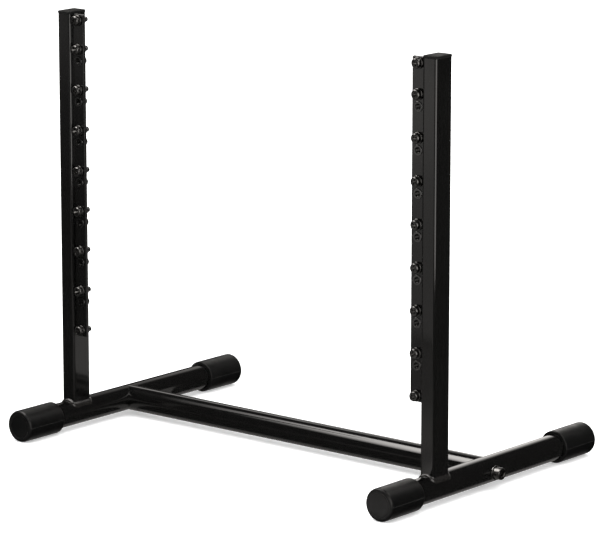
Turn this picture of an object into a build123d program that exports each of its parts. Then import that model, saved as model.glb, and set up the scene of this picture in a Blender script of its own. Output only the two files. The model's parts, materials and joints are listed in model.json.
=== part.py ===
"""Table-top rack stand for eight units of 19-inch equipment.

Two side frames (a round foot tube with a rectangular upright welded on it and a drilled flat
rail welded to the upright's inner face) are bolted to the ends of one round crossbar.

Frame: millimetres, +X to the right, -Y to the front where the panels go, +Z up. The origin is
on the table, at the middle of the stand's footprint. The stand is the same left and right.
"""
import os

from build123d import *

os.makedirs("parts", exist_ok=True)

# The 19-inch rack standard (EIA-310)
RACK_UNIT = 44.45
UNITS = 8
HOLE_COLUMNS = 465.1        # between the two columns of rail holes
UPPER_HOLE = 6.35           # from the top of a unit to its upper hole
LOWER_HOLE = 38.1           # from the top of a unit to its lower hole

# Round tube of the feet and the crossbar
TUBE_R = 14.0
TUBE_WALL = 1.5

# Rubber caps on the foot tubes, on which the stand rests
CAP_R = 17.5
CAP_LENGTH = 54.0
CAP_END_WALL = 3.5
CAP_EDGE_R = 3.0            # rounding of the closed end
CAP_MOUTH_BEVEL = 1.2
CAP_RECESS_R = 13.0         # shallow dish in the closed end
CAP_RECESS_DEPTH = 0.8

# Feet
FOOT_LENGTH = 354.0         # over the rubber caps
FOOT_X = 249.5              # from the middle of the stand to a foot tube's axis
FOOT_Z = CAP_R              # height of the foot tubes' and the crossbar's axes
FOOT_TUBE_LENGTH = FOOT_LENGTH - 2 * CAP_END_WALL

# Uprights: rectangular tube, nearer the front of the foot
UPRIGHT_W = 18.0            # along X
UPRIGHT_D = 26.0            # along Y
UPRIGHT_CORNER_R = 2.5
UPRIGHT_WALL = 1.5
UPRIGHT_FRONT_Y = -98.0
UPRIGHT_TOP = 462.0
UPRIGHT_Y = UPRIGHT_FRONT_Y + UPRIGHT_D / 2
UPRIGHT_INNER_X = FOOT_X - UPRIGHT_W / 2

# Plastic plug in the top of each upright
PLUG_LIP = 0.5              # how far its flange stands out past the tube
PLUG_FLANGE_T = 3.0
PLUG_SKIRT = 14.0
PLUG_WALL = 1.5

# Rack rails: flat bar, welded by its edge to the upright
RAIL_INNER_X = 224.5
RAIL_T = 2.5
RAIL_SET_BACK = 4.0         # from the upright's front face to the rail's
RAIL_FRONT_Y = UPRIGHT_FRONT_Y + RAIL_SET_BACK
RAIL_LENGTH = UNITS * RACK_UNIT
RAIL_BOTTOM = UPRIGHT_TOP - RAIL_LENGTH
RAIL_W = UPRIGHT_INNER_X - RAIL_INNER_X

# Threaded inserts in the rail holes, M6
INSERT_BORE_R = 3.0
INSERT_BARREL_R = 4.5
INSERT_BARREL_LENGTH = 9.5  # from the rail's front face
INSERT_FLANGE_R = 5.5
INSERT_FLANGE_T = 0.8
INSERT_BULGE_R = 5.5        # the barrel's upset collar behind the rail
INSERT_BULGE_T = 2.5
INSERT_FACE_Y = RAIL_FRONT_Y - INSERT_FLANGE_T

# Rack screws, M6 by 16, and their washers
SCREW_SHANK_R = 2.95
SCREW_SHANK_LENGTH = 16.0
SCREW_TIP_BEVEL = 0.6
SCREW_HEAD_R = 5.3
SCREW_HEAD_T = 4.5
SCREW_HEAD_EDGE_R = 1.3
RECESS_WIDTH = 1.3          # cross recess
RECESS_SPAN = 5.2
RECESS_DEPTH = 2.4
RACK_WASHER_R = 6.1
RACK_WASHER_BORE_R = 3.3
RACK_WASHER_T = 1.2
SCREW_SEAT_Y = INSERT_FACE_Y - RACK_WASHER_T

# Bolts that hold the crossbar, M8 by 50 with a socket head
BOLT_R = 3.95
BOLT_LENGTH = 50.0
BOLT_HEAD_R = 6.5
BOLT_HEAD_T = 8.0
BOLT_HEAD_BEVEL = 0.6
BOLT_SOCKET_AF = 6.0
BOLT_SOCKET_DEPTH = 4.0
BOLT_HOLE_R = 4.5
BOLT_WASHER_R = 7.5
BOLT_WASHER_BORE_R = 4.2
BOLT_WASHER_T = 1.8
BOLT_SEAT_X = FOOT_X + TUBE_R + BOLT_WASHER_T

# Threaded plugs welded inside the crossbar's ends
END_NUT_T = 14.0
END_NUT_BORE_R = 4.0
END_NUT_FACE_X = FOOT_X - TUBE_R - 1.0
SADDLE_TRIM = 2.5           # the crossbar's horns stop this short of the foot tube's axis

# Weld beads
BEAD = 2.6                  # round the foot of each upright
TACK_LEG = 2.4              # along the back edge of the rail
TACK_LENGTH = 18.0
TACK_UNITS = (0, 2, 5, 7)   # the units, counted from the top, that have a tack

SIDES = {"left": -1, "right": 1}
HOLE_X = HOLE_COLUMNS / 2
UPPER_Z = [UPRIGHT_TOP - unit * RACK_UNIT - UPPER_HOLE for unit in range(UNITS)]
LOWER_Z = [UPRIGHT_TOP - unit * RACK_UNIT - LOWER_HOLE for unit in range(UNITS)]
HOLE_Z = UPPER_Z + LOWER_Z
SCREW_Z = UPPER_Z[:1] + LOWER_Z


def write(piece, name):
    """Label a finished piece and write it to its own STEP file."""
    piece.label = name
    export_step(piece, f"parts/{name}.step")


def make_foot_tube(side):
    """Round tube from front to back, drilled through at its middle for the crossbar bolt."""
    with BuildPart() as foot_tube:
        with BuildSketch(Plane.XZ):
            with Locations((side * FOOT_X, FOOT_Z)):
                Circle(TUBE_R)
                Circle(TUBE_R - TUBE_WALL, mode=Mode.SUBTRACT)
        extrude(amount=FOOT_TUBE_LENGTH / 2, both=True)
        with BuildSketch(Plane.YZ):
            with Locations((0, FOOT_Z)):
                Circle(BOLT_HOLE_R)
        extrude(amount=side * (FOOT_X + 2 * TUBE_R), mode=Mode.SUBTRACT)
    return foot_tube.part


def make_foot_cap(side, end):
    """Moulded rubber cup pushed over a foot tube's end; end is -1 at the front."""
    mouth = (side * FOOT_X, end * FOOT_LENGTH / 2, FOOT_Z)
    half_section = Plane(origin=mouth, x_dir=(0, -end, 0), z_dir=(-end, 0, 0))
    with BuildPart() as foot_cap:
        with BuildSketch(half_section):
            with BuildLine():
                Polyline(
                    (0, CAP_R - CAP_EDGE_R),
                    (0, CAP_RECESS_R + CAP_RECESS_DEPTH),
                    (CAP_RECESS_DEPTH, CAP_RECESS_R),
                    (CAP_RECESS_DEPTH, 0),
                    (CAP_END_WALL, 0),
                    (CAP_END_WALL, TUBE_R),
                    (CAP_LENGTH, TUBE_R),
                    (CAP_LENGTH, CAP_R - CAP_MOUTH_BEVEL),
                    (CAP_LENGTH - CAP_MOUTH_BEVEL, CAP_R),
                    (CAP_EDGE_R, CAP_R),
                )
                RadiusArc((CAP_EDGE_R, CAP_R), (0, CAP_R - CAP_EDGE_R), -CAP_EDGE_R)
            make_face()
        revolve(axis=Axis(mouth, (0, 1, 0)))
    return foot_cap.part


def make_crossbar():
    """Round tube whose ends are cut to saddle the foot tubes."""
    with BuildPart() as crossbar:
        with BuildSketch(Plane.YZ):
            with Locations((0, FOOT_Z)):
                Circle(TUBE_R)
                Circle(TUBE_R - TUBE_WALL, mode=Mode.SUBTRACT)
        extrude(amount=FOOT_X - SADDLE_TRIM, both=True)
        with BuildSketch(Plane.XZ):
            with Locations((-FOOT_X, FOOT_Z), (FOOT_X, FOOT_Z)):
                Circle(TUBE_R)
        extrude(amount=2 * TUBE_R, both=True, mode=Mode.SUBTRACT)
    return crossbar.part


def make_end_nut(side):
    """Round threaded plug inside one end of the crossbar."""
    with BuildPart() as end_nut:
        with BuildSketch(Plane.YZ.offset(side * END_NUT_FACE_X)):
            with Locations((0, FOOT_Z)):
                Circle(TUBE_R - TUBE_WALL)
                Circle(END_NUT_BORE_R, mode=Mode.SUBTRACT)
        extrude(amount=-side * END_NUT_T)
    return end_nut.part


def make_crossbar_bolt(side):
    """Socket-head bolt from the outside of the foot tube into the crossbar's end nut."""
    head_x = BOLT_SEAT_X + BOLT_HEAD_T
    with BuildPart() as bolt:
        with BuildSketch(Plane.YZ.offset(side * BOLT_SEAT_X)):
            with Locations((0, FOOT_Z)):
                Circle(BOLT_HEAD_R)
        extrude(amount=side * BOLT_HEAD_T)
        rim = bolt.edges().filter_by(GeomType.CIRCLE).sort_by(Axis.X)[-1 if side > 0 else 0]
        chamfer(rim, BOLT_HEAD_BEVEL)
        with BuildSketch(Plane.YZ.offset(side * head_x)):
            with Locations((0, FOOT_Z)):
                RegularPolygon(BOLT_SOCKET_AF / 2, 6, major_radius=False)
        extrude(amount=-side * BOLT_SOCKET_DEPTH, mode=Mode.SUBTRACT)
        with BuildSketch(Plane.YZ.offset(side * BOLT_SEAT_X)):
            with Locations((0, FOOT_Z)):
                Circle(BOLT_R)
        extrude(amount=-side * BOLT_LENGTH)
    return bolt.part


def make_crossbar_washer(side):
    """Spring washer between the bolt's head and the crown of the foot tube."""
    with BuildPart() as washer:
        with BuildSketch(Plane.YZ.offset(side * BOLT_SEAT_X)):
            with Locations((0, FOOT_Z)):
                Circle(BOLT_WASHER_R)
                Circle(BOLT_WASHER_BORE_R, mode=Mode.SUBTRACT)
        extrude(amount=-side * BOLT_WASHER_T)
    return washer.part


def make_upright(side):
    """Rectangular tube whose lower end is cut to saddle the foot tube."""
    with BuildPart() as upright:
        with BuildSketch(Plane.XY.offset(FOOT_Z)):
            with Locations((side * FOOT_X, UPRIGHT_Y)):
                RectangleRounded(UPRIGHT_W, UPRIGHT_D, UPRIGHT_CORNER_R)
                RectangleRounded(
                    UPRIGHT_W - 2 * UPRIGHT_WALL,
                    UPRIGHT_D - 2 * UPRIGHT_WALL,
                    UPRIGHT_CORNER_R - UPRIGHT_WALL,
                    mode=Mode.SUBTRACT,
                )
        extrude(amount=UPRIGHT_TOP - FOOT_Z)
        with BuildSketch(Plane.XZ):
            with Locations((side * FOOT_X, FOOT_Z)):
                Circle(TUBE_R)
        extrude(amount=FOOT_LENGTH / 2, mode=Mode.SUBTRACT)
    return upright.part


def make_upright_plug(side):
    """Plastic plug: a flange on the upright's top and a hollow skirt inside the tube."""
    skirt_w = UPRIGHT_W - 2 * UPRIGHT_WALL
    skirt_d = UPRIGHT_D - 2 * UPRIGHT_WALL
    skirt_corner_r = UPRIGHT_CORNER_R - UPRIGHT_WALL
    with BuildPart() as plug:
        with BuildSketch(Plane.XY.offset(UPRIGHT_TOP)):
            with Locations((side * FOOT_X, UPRIGHT_Y)):
                RectangleRounded(
                    UPRIGHT_W + 2 * PLUG_LIP,
                    UPRIGHT_D + 2 * PLUG_LIP,
                    UPRIGHT_CORNER_R + PLUG_LIP,
                )
        extrude(amount=PLUG_FLANGE_T)
        chamfer(plug.faces().sort_by(Axis.Z)[-1].edges(), PLUG_FLANGE_T / 4)
        with BuildSketch(Plane.XY.offset(UPRIGHT_TOP)):
            with Locations((side * FOOT_X, UPRIGHT_Y)):
                RectangleRounded(skirt_w, skirt_d, skirt_corner_r)
                Rectangle(skirt_w - 2 * PLUG_WALL, skirt_d - 2 * PLUG_WALL, mode=Mode.SUBTRACT)
        extrude(amount=-PLUG_SKIRT)
    return plug.part


def make_rack_rail(side):
    """Flat bar with an upper and a lower hole for each rack unit."""
    with BuildPart() as rail:
        with BuildSketch(Plane.XZ.offset(-RAIL_FRONT_Y)):
            with Locations((side * (RAIL_INNER_X + RAIL_W / 2), RAIL_BOTTOM + RAIL_LENGTH / 2)):
                Rectangle(RAIL_W, RAIL_LENGTH)
            with Locations(*[(side * HOLE_X, z) for z in HOLE_Z]):
                Circle(INSERT_BARREL_R, mode=Mode.SUBTRACT)
        extrude(amount=-RAIL_T)
    return rail.part


def make_rail_inserts(side):
    """Flanged threaded inserts, one pressed into each hole of a rail."""
    places = [(side * HOLE_X, z) for z in HOLE_Z]
    with BuildPart() as inserts:
        with BuildSketch(Plane.XZ.offset(-INSERT_FACE_Y)):
            with Locations(*places):
                Circle(INSERT_FLANGE_R)
        extrude(amount=-INSERT_FLANGE_T)
        with BuildSketch(Plane.XZ.offset(-RAIL_FRONT_Y)):
            with Locations(*places):
                Circle(INSERT_BARREL_R)
        extrude(amount=-INSERT_BARREL_LENGTH)
        with BuildSketch(Plane.XZ.offset(-RAIL_FRONT_Y - RAIL_T)):
            with Locations(*places):
                Circle(INSERT_BULGE_R)
        extrude(amount=-INSERT_BULGE_T)
        with BuildSketch(Plane.XZ.offset(-INSERT_FACE_Y)):
            with Locations(*places):
                Circle(INSERT_BORE_R)
        extrude(amount=-INSERT_FLANGE_T - INSERT_BARREL_LENGTH, mode=Mode.SUBTRACT)
    return inserts.part


def make_weld_beads(side):
    """The bead round the upright's foot, and the tacks behind the rail's edge."""
    corner_x = side * UPRIGHT_INNER_X
    corner_y = RAIL_FRONT_Y + RAIL_T
    with BuildPart() as beads:
        with BuildSketch(Plane.XY.offset(FOOT_Z)):
            with Locations((side * FOOT_X, UPRIGHT_Y)):
                RectangleRounded(
                    UPRIGHT_W + 2 * BEAD, UPRIGHT_D + 2 * BEAD, UPRIGHT_CORNER_R + BEAD
                )
                RectangleRounded(UPRIGHT_W, UPRIGHT_D, UPRIGHT_CORNER_R, mode=Mode.SUBTRACT)
        extrude(amount=TUBE_R + BEAD)
        with BuildSketch(Plane.XZ):
            with Locations((side * FOOT_X, FOOT_Z)):
                Circle(TUBE_R + BEAD)
                Circle(TUBE_R, mode=Mode.SUBTRACT)
        extrude(amount=FOOT_LENGTH / 2, mode=Mode.INTERSECT)
        for unit in TACK_UNITS:
            tack_z = UPRIGHT_TOP - (unit + 0.5) * RACK_UNIT
            with BuildSketch(Plane.XY.offset(tack_z - TACK_LENGTH / 2)):
                with BuildLine():
                    Polyline(
                        (corner_x, corner_y),
                        (corner_x - side * TACK_LEG, corner_y),
                        (corner_x, corner_y + TACK_LEG),
                        close=True,
                    )
                make_face()
            extrude(amount=TACK_LENGTH)
    return beads.part


def make_rack_screw(side, z):
    """Pan-head screw with a cross recess."""
    face = Plane.XZ.offset(-SCREW_SEAT_Y)
    with BuildPart() as screw:
        with BuildSketch(face):
            with Locations((side * HOLE_X, z)):
                Circle(SCREW_HEAD_R)
        extrude(amount=SCREW_HEAD_T)
        fillet(screw.edges().filter_by(GeomType.CIRCLE).sort_by(Axis.Y)[0], SCREW_HEAD_EDGE_R)
        with BuildSketch(face.offset(SCREW_HEAD_T)):
            with Locations((side * HOLE_X, z)):
                Rectangle(RECESS_SPAN, RECESS_WIDTH)
                Rectangle(RECESS_WIDTH, RECESS_SPAN)
        extrude(amount=-RECESS_DEPTH, mode=Mode.SUBTRACT)
        with BuildSketch(face):
            with Locations((side * HOLE_X, z)):
                Circle(SCREW_SHANK_R)
        extrude(amount=-SCREW_SHANK_LENGTH)
        chamfer(screw.edges().filter_by(GeomType.CIRCLE).sort_by(Axis.Y)[-1], SCREW_TIP_BEVEL)
    return screw.part


def make_rack_washer(side, z):
    """Flat washer between a rack screw's head and its insert."""
    with BuildPart() as washer:
        with BuildSketch(Plane.XZ.offset(-INSERT_FACE_Y)):
            with Locations((side * HOLE_X, z)):
                Circle(RACK_WASHER_R)
                Circle(RACK_WASHER_BORE_R, mode=Mode.SUBTRACT)
        extrude(amount=RACK_WASHER_T)
    return washer.part


write(make_crossbar(), "crossbar")
for side_name, side in SIDES.items():
    write(make_foot_tube(side), f"{side_name}_foot_tube")
    write(make_foot_cap(side, -1), f"{side_name}_front_foot_cap")
    write(make_foot_cap(side, 1), f"{side_name}_rear_foot_cap")
    write(make_end_nut(side), f"{side_name}_crossbar_end_nut")
    write(make_crossbar_bolt(side), f"{side_name}_crossbar_bolt")
    write(make_crossbar_washer(side), f"{side_name}_crossbar_washer")
    write(make_upright(side), f"{side_name}_upright")
    write(make_upright_plug(side), f"{side_name}_upright_plug")
    write(make_rack_rail(side), f"{side_name}_rack_rail")
    write(make_rail_inserts(side), f"{side_name}_rail_inserts")
    write(make_weld_beads(side), f"{side_name}_weld_beads")
    for number, screw_z in enumerate(SCREW_Z, start=1):
        write(make_rack_screw(side, screw_z), f"{side_name}_rack_screw_{number}")
        write(make_rack_washer(side, screw_z), f"{side_name}_rack_washer_{number}")
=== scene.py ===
"""Looks of the table-top rack stand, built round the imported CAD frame.

Every place and outer size comes from the frame's nodes. What the plain solids leave out is added
here: screw threads and cross recesses, rippled weld beads, moulded rubber and plastic, pressed
washers, rounded sheet edges, and the finishes.

Meshes are built in millimetres and turned to metres when they become pieces.
"""
import json
import math

import bmesh
import bpy
from mathutils import Matrix, Vector


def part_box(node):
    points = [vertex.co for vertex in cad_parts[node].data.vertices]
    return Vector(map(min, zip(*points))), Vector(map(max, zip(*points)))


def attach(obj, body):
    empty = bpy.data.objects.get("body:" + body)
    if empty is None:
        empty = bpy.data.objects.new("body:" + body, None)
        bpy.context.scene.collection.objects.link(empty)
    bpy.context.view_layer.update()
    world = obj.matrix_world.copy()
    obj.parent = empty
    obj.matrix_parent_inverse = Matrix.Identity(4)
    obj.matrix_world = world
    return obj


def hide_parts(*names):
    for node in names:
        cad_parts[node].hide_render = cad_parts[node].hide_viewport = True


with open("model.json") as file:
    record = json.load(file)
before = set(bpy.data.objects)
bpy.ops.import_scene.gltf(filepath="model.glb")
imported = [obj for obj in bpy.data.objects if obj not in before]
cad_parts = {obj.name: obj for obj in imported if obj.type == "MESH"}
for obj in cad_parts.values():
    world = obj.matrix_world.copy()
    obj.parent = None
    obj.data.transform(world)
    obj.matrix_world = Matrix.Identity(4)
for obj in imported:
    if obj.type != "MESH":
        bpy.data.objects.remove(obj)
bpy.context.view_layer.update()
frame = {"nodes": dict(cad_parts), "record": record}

MM = 0.001
SIDES = {"left": -1, "right": 1}
X, Y, Z = Vector((1, 0, 0)), Vector((0, 1, 0)), Vector((0, 0, 1))


# ------------------------------ frame, in millimetres

def box_mm(node):
    """Lowest and highest corner of a CAD node, in millimetres."""
    low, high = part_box(node)
    return low / MM, high / MM


def middle_mm(node):
    low, high = box_mm(node)
    return (low + high) / 2


def facing(origin, along, across):
    """Matrix that puts a local origin, Z axis and X axis at a place in the row frame."""
    third = along.cross(across)
    turn = Matrix((across, third, along)).transposed().to_4x4()
    return Matrix.Translation(origin) @ turn


# ------------------------------ mesh tools

def bridge(bm, first, second, closed=True):
    """Quads between two rings of the same length; corners that coincide give triangles."""
    count = len(first)
    for i in range(count if closed else count - 1):
        j = (i + 1) % count
        corners = list(dict.fromkeys((first[i], first[j], second[j], second[i])))
        if len(corners) > 2:
            bm.faces.new(corners)


def skin(bm, rings, closed=False):
    """Bridges each ring to the next one, and the last to the first when closed."""
    for first, second in zip(rings, rings[1:] + rings[:1] if closed else rings[1:]):
        bridge(bm, first, second)


def ring_of(bm, points):
    return [bm.verts.new(point) for point in points]


def close_ends(bm, rings):
    for end in (rings[0], rings[-1]):
        bm.faces.new(end)


def filleted(corners, steps=4):
    """Points of a polyline of (x, y, radius) corners, each rounded to its radius."""
    points = []
    for i, (x, y, radius) in enumerate(corners):
        here = Vector((x, y))
        if radius == 0 or i in (0, len(corners) - 1):
            points.append(here)
            continue
        back = (Vector(corners[i - 1][:2]) - here).normalized()
        ahead = (Vector(corners[i + 1][:2]) - here).normalized()
        half = back.angle(ahead) / 2
        centre = here + (back + ahead).normalized() * radius / math.sin(half)
        start = here + back * radius / math.tan(half) - centre
        end = here + ahead * radius / math.tan(half) - centre
        turn = start.angle(end)
        for k in range(steps + 1):
            share = k / steps
            arc = (start * math.sin((1 - share) * turn) + end * math.sin(share * turn)) / math.sin(turn)
            points.append(centre + arc)
    return points


class Turned:
    """A body of revolution about local Z, made ring by ring from one end to the other."""

    def __init__(self, segments, bm=None):
        self.bm = bm or bmesh.new()
        self.segments = segments
        self.angles = [2 * math.pi * i / segments for i in range(segments)]
        self.last = None

    def points(self, z, radius):
        radii = radius if callable(radius) else lambda angle: radius
        return [Vector((radii(a) * math.cos(a), radii(a) * math.sin(a), z)) for a in self.angles]

    def ring(self, z, radius):
        """One more ring, or a point on the axis when the radius is 0."""
        if radius == 0:
            tip = self.bm.verts.new((0, 0, z))
            new = [tip] * self.segments
        else:
            new = ring_of(self.bm, self.points(z, radius))
        if self.last:
            bridge(self.bm, self.last, new)
        self.last = new
        return self

    def profile(self, points):
        for z, radius in points:
            self.ring(z, radius)
        return self

    def loop(self, points):
        """A closed section, so the body is a ring with a hole through it."""
        skin(self.bm, [ring_of(self.bm, self.points(z, radius)) for z, radius in points], closed=True)
        return self

    def thread(self, z_end, form, pitch, origin, limit):
        """A helical thread from the last ring to z_end.

        form lists (share of the pitch, radius) rows, origin is where the first row crosses angle 0,
        and limit(z, radius) tapers the radius at the ends.
        """
        z_start = self.last[0].co.z
        low, high = min(z_start, z_end), max(z_start, z_end)
        at_end = ring_of(self.bm, self.points(z_end, limit(z_end, form[0][1])))
        at_low, at_high = (self.last, at_end) if z_start < z_end else (at_end, self.last)
        first_turn = math.floor((low - origin) / pitch) - 1
        last_turn = math.ceil((high - origin) / pitch) + 1
        columns = []
        for i, angle in enumerate(self.angles):
            column = []
            for turn in range(first_turn, last_turn + 1):
                for share, radius in form:
                    z = origin + (turn + share + i / self.segments) * pitch
                    if z <= low:
                        column.append(at_low[i])
                    elif z >= high:
                        column.append(at_high[i])
                    else:
                        out = limit(z, radius)
                        point = (out * math.cos(angle), out * math.sin(angle), z)
                        column.append(self.bm.verts.new(point))
            columns.append(column)
        rows = len(form)
        columns.append(columns[0][rows:] + [at_high[0]] * rows)
        for left, right in zip(columns, columns[1:]):
            bridge(self.bm, left, right, closed=False)
        self.last = at_end
        return self


def rounded_rectangle(width, depth, radius, arc_steps, width_steps=1, depth_steps=1):
    """Outline as (point, outward normal) pairs, counterclockwise from the +X side's low corner."""
    outline = []
    flats = (depth_steps, width_steps, depth_steps, width_steps)
    for quarter in range(4):
        turn = Matrix.Rotation(quarter * math.pi / 2, 2)
        size_x, size_y = (width, depth) if quarter % 2 == 0 else (depth, width)
        x, half_flat = size_x / 2, size_y / 2 - radius
        steps = flats[quarter]
        for k in range(steps):
            y = half_flat * (2 * k / steps - 1)
            outline.append((turn @ Vector((x, y)), turn @ Vector((1, 0))))
        for k in range(arc_steps):
            angle = k / arc_steps * math.pi / 2
            normal = Vector((math.cos(angle), math.sin(angle)))
            centre = Vector((x - radius, half_flat))
            outline.append((turn @ (centre + radius * normal), turn @ normal))
    return outline


def new_object(name, data):
    made = bpy.data.objects.new(name, data)
    bpy.context.scene.collection.objects.link(made)
    return made


def add_piece(name, bm, material, node, place=None, sharp_deg=35.0):
    """A finished mesh becomes a piece that stands for a CAD node and rides on its body."""
    if place:
        bmesh.ops.transform(bm, matrix=place, verts=bm.verts)
    bmesh.ops.scale(bm, vec=(MM, MM, MM), verts=bm.verts)
    bmesh.ops.recalc_face_normals(bm, faces=bm.faces)
    mesh = bpy.data.meshes.new(name)
    bm.to_mesh(mesh)
    bm.free()
    mesh.shade_smooth()
    mesh.set_sharp_from_angle(angle=math.radians(sharp_deg))
    for finish in material if isinstance(material, (list, tuple)) else [material]:
        mesh.materials.append(finish)
    piece = new_object(name, mesh)
    normals = piece.modifiers.new("even_normals", "WEIGHTED_NORMAL")
    normals.keep_sharp = True
    normals.weight = 100
    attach(piece, body_of_node[node])
    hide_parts(node)


body_of_node = {
    node: body
    for body, nodes in frame["record"]["behaviour"]["bodies"].items()
    for node in nodes
}
slot_of_node = {part["node"]: part["material_slot"] for part in frame["record"]["subparts"]}


# ------------------------------ finishes

def add_node(tree, kind, links=None, **settings):
    """A node with its inputs given as links (sockets) or settings (values and properties)."""
    new = tree.nodes.new(kind)
    for key, value in settings.items():
        if hasattr(new, key):
            setattr(new, key, value)
        else:
            new.inputs[key.replace("_", " ")].default_value = value
    for key, socket in (links or {}).items():
        tree.links.new(socket, new.inputs[key])
    return new


class Finish:
    """One node material: a Principled shader with procedural colour, roughness and bump."""

    def __init__(self, name, **constants):
        self.material = bpy.data.materials.new(name)
        self.material.use_nodes = True
        self.tree = self.material.node_tree
        self.shader = self.tree.nodes["Principled BSDF"]
        for socket, value in constants.items():
            self.shader.inputs[socket.replace("_", " ")].default_value = value
        self.place = self.tree.nodes.new("ShaderNodeTexCoord").outputs["Object"]

    def add(self, kind, links=None, **settings):
        return add_node(self.tree, kind, links, **settings)

    def noise(self, size_mm, detail=2.0, roughness=0.5, stretch=None):
        """Noise whose blobs are about size_mm across."""
        place = self.place
        if stretch:
            place = self.add("ShaderNodeMapping", {"Vector": place}, Scale=stretch).outputs["Vector"]
        settings = {"Scale": 1 / (size_mm * MM), "Detail": detail, "Roughness": roughness}
        return self.add("ShaderNodeTexNoise", {"Vector": place}, **settings).outputs["Fac"]

    def spread(self, value, low, high, to_low, to_high):
        """Maps low..high to to_low..to_high, clamped."""
        ends = {"From_Min": low, "From_Max": high, "To_Min": to_low, "To_Max": to_high}
        return self.add("ShaderNodeMapRange", {"Value": value}, **ends).outputs["Result"]

    def mix(self, share, first, second):
        """Colour between two greys or RGB tuples."""
        made = self.add("ShaderNodeMix", {"Factor": share}, data_type="RGBA")
        for socket, colour in ((6, first), (7, second)):
            if isinstance(colour, bpy.types.NodeSocket):
                self.tree.links.new(colour, made.inputs[socket])
            else:
                made.inputs[socket].default_value = (*colour, 1.0)
        return made.outputs[2]

    def add_up(self, first, second, operation="ADD"):
        made = self.add("ShaderNodeMath", operation=operation)
        for socket, value in zip(made.inputs, (first, second)):
            if isinstance(value, bpy.types.NodeSocket):
                self.tree.links.new(value, socket)
            else:
                socket.default_value = value
        return made.outputs["Value"]

    def edges(self, radius_mm):
        """1 on edges sharper than the radius, 0 on open faces."""
        rounded = self.add("ShaderNodeBevel", samples=4, Radius=radius_mm * MM).outputs["Normal"]
        plain = self.add("ShaderNodeNewGeometry").outputs["Normal"]
        dot = self.add("ShaderNodeVectorMath", {0: rounded, 1: plain}, operation="DOT_PRODUCT")
        return self.spread(dot.outputs["Value"], 0.99, 0.86, 0.0, 1.0)

    def worn_edges(self, radius_mm, patch_mm, detail, least, low=0.35, high=0.65):
        """Edges as above, worn unevenly: between patches only the least share is left."""
        edges = self.edges(radius_mm)
        patches = self.spread(self.noise(patch_mm, detail), low, high, least, 1.0)
        return self.add_up(edges, patches, "MULTIPLY")

    def bump(self, height, depth_mm, normal=None):
        """Bump of the given depth; normal chains it onto another bump."""
        links = {"Height": height}
        if normal:
            links["Normal"] = normal
        return self.add("ShaderNodeBump", links, Strength=1.0, Distance=depth_mm * MM).outputs["Normal"]

    def finish(self, colour=None, roughness=None, normal=None):
        for socket, value in (("Base Color", colour), ("Roughness", roughness), ("Normal", normal)):
            if value:
                self.tree.links.new(value, self.shader.inputs[socket])
        return self.material


def powder_coat(name):
    """Gloss black powder coat: faint orange peel, thin at edges, a little handling haze."""
    coat = Finish(name, IOR=1.5)
    worn = coat.worn_edges(0.6, 9, 4, 0.2)
    haze = coat.spread(coat.noise(60, 5, 0.6), 0.4, 0.75, 0.0, 1.0)
    tone = coat.mix(coat.noise(14, 3), (0.0020, 0.0020, 0.0019), (0.0034, 0.0033, 0.0032))
    tone = coat.mix(worn, tone, (0.022, 0.021, 0.020))
    rough = coat.spread(haze, 0.0, 1.0, 0.075, 0.135)
    rough = coat.add_up(rough, coat.add_up(worn, 0.18, "MULTIPLY"))
    peel = coat.bump(coat.noise(3.2, 1.5), 0.006)
    dust = coat.bump(coat.noise(0.5, 1.0), 0.0006, peel)
    return coat.finish(tone, rough, dust)


def weld_coat(name):
    """The same coat over a weld bead: patchy gloss from noise, with fine spatter."""
    coat = Finish(name, IOR=1.5)
    tone = coat.mix(coat.noise(1.6, 3), (0.0035, 0.0034, 0.0033), (0.012, 0.011, 0.010))
    rough = coat.spread(coat.noise(2.5, 3), 0.3, 0.7, 0.08, 0.24)
    grain = coat.bump(coat.noise(0.9, 3), 0.02)
    return coat.finish(tone, rough, grain)


def rubber(name):
    """Moulded rubber: matte, finely grained, with a greyish bloom and scuffed edges."""
    soft = Finish(name, IOR=1.5, Specular_IOR_Level=0.28)
    bloom = soft.spread(soft.noise(22, 5, 0.6), 0.35, 0.7, 0.0, 1.0)
    worn = soft.worn_edges(1.2, 4, 4, 0.3)
    tone = soft.mix(bloom, (0.0012, 0.0012, 0.0012), (0.0028, 0.0028, 0.0027))
    tone = soft.mix(worn, tone, (0.022, 0.022, 0.021))
    rough = soft.spread(soft.noise(8, 4), 0.3, 0.7, 0.36, 0.50)
    grain = soft.bump(soft.noise(0.55, 3, 0.6), 0.020)
    swell = soft.bump(soft.noise(9, 1), 0.030, grain)
    return soft.finish(tone, rough, swell)


def plastic(name):
    """Injection-moulded black plastic with a fine spark-eroded texture."""
    shell = Finish(name, IOR=1.46, Specular_IOR_Level=0.06)
    worn = shell.worn_edges(0.5, 3, 4, 0.2)
    tone = shell.mix(shell.noise(6, 3), (0.0050, 0.0050, 0.0048), (0.0080, 0.0080, 0.0078))
    tone = shell.mix(worn, tone, (0.030, 0.030, 0.029))
    rough = shell.spread(shell.noise(5, 3), 0.3, 0.7, 0.42, 0.54)
    grain = shell.bump(shell.noise(0.4, 2), 0.010)
    return shell.finish(tone, rough, grain)


def steel(name, dark, light, rough_low, rough_high, worn_colour, worn_share):
    """Metal whose tone and roughness vary, with brighter rubbed edges."""
    metal = Finish(name, Metallic=1.0)
    patches = metal.spread(metal.noise(3.5, 5, 0.6), 0.35, 0.65, 0.0, 1.0)
    rubbed = metal.add_up(metal.worn_edges(0.35, 1.5, 3, 0.1, 0.3, 0.6), worn_share, "MULTIPLY")
    tone = metal.mix(rubbed, metal.mix(patches, dark, light), worn_colour)
    rough = metal.spread(patches, 0.0, 1.0, rough_low, rough_high)
    grain = metal.bump(metal.noise(0.35, 3), 0.004)
    return metal.finish(tone, rough, grain)


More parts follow.
